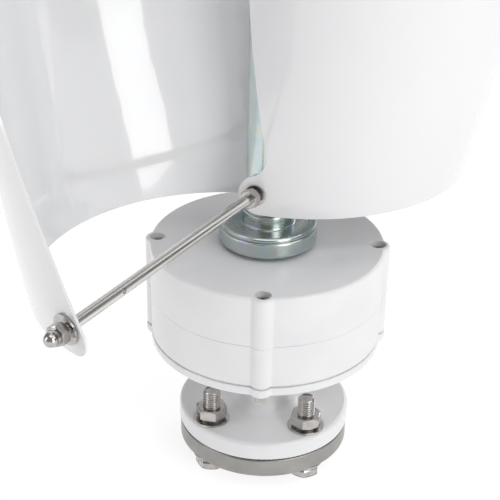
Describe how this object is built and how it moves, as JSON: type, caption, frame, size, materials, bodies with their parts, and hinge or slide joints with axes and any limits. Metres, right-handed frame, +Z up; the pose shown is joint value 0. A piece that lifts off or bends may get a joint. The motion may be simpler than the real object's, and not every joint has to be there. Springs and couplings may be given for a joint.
{
  "type": "vertical axis turbine",
  "caption": "Small vertical axis wind turbine: twisted sheet blades on a steel tube turn a flange-mounted generator.",
  "frame": {"origin": "centre of the mast flange's underside", "axes": "+Z up along the spin axis; the four generator bosses lie on +X, +Y, -X and -Y"},
  "size_m": [0.3736, 0.3456, 0.8],
  "materials": {
    "white_casting": "semi-gloss white powder coat on die-cast aluminium",
    "white_sheet": "gloss white paint on sheet aluminium",
    "flange_steel": "satin turned stainless steel",
    "fastener_steel": "bright stainless steel",
    "spring_steel": "dark oiled spring steel",
    "zinc_steel": "clear zinc plate, faintly blue",
    "bearing_steel": "ground and polished bearing steel",
    "rubber": "matte black",
    "lamination": "electrical steel laminations",
    "copper": "enamelled copper wire",
    "magnet": "nickel plated sintered magnet",
    "cap_plastic": "moulded black plastic"
  },
  "bodies": {
    "generator_base": {"mast_flange": "flange_steel", "flange_gasket": "rubber", "flange_bolts": "fastener_steel", "flange_washers": "fastener_steel", "spring_washers": "spring_steel", "flange_nuts": "fastener_steel", "lower_end_cover": "white_casting", "middle_housing": "white_casting", "upper_housing": "white_casting", "housing_screws": "fastener_steel", "shaft_seal": "rubber", "cable_grommet": "rubber", "lower_bearing_outer_ring": "bearing_steel", "lower_bearing_balls": "bearing_steel", "upper_bearing_outer_ring": "bearing_steel", "upper_bearing_balls": "bearing_steel", "stator_core": "lamination", "stator_windings": "copper"},
    "rotor": {"lower_bearing_inner_ring": "bearing_steel", "upper_bearing_inner_ring": "bearing_steel", "generator_shaft": "bearing_steel", "shaft_circlip": "bearing_steel", "rotor_core": "lamination", "rotor_magnets": "magnet", "hub_key": "bearing_steel", "shaft_hub": "zinc_steel", "hub_screws": "fastener_steel", "hub_set_screws": "fastener_steel", "tube_flange": "zinc_steel", "central_tube": "zinc_steel", "tube_cap": "cap_plastic", "blade_a": "white_sheet", "blade_b": "white_sheet", "tie_rod_bottom": "fastener_steel", "tie_rod_middle": "fastener_steel", "tie_rod_top": "fastener_steel", "root_washers": "fastener_steel", "root_nuts": "fastener_steel", "tip_washers": "fastener_steel", "cap_nuts": "fastener_steel"}
  },
  "joints": [
    {"name": "rotor_spin", "type": "hinge", "parent": "generator_base", "child": "rotor", "pos_m": [0, 0, 0.08], "axis": [0, 0, 1], "continuous": true}
  ]
}
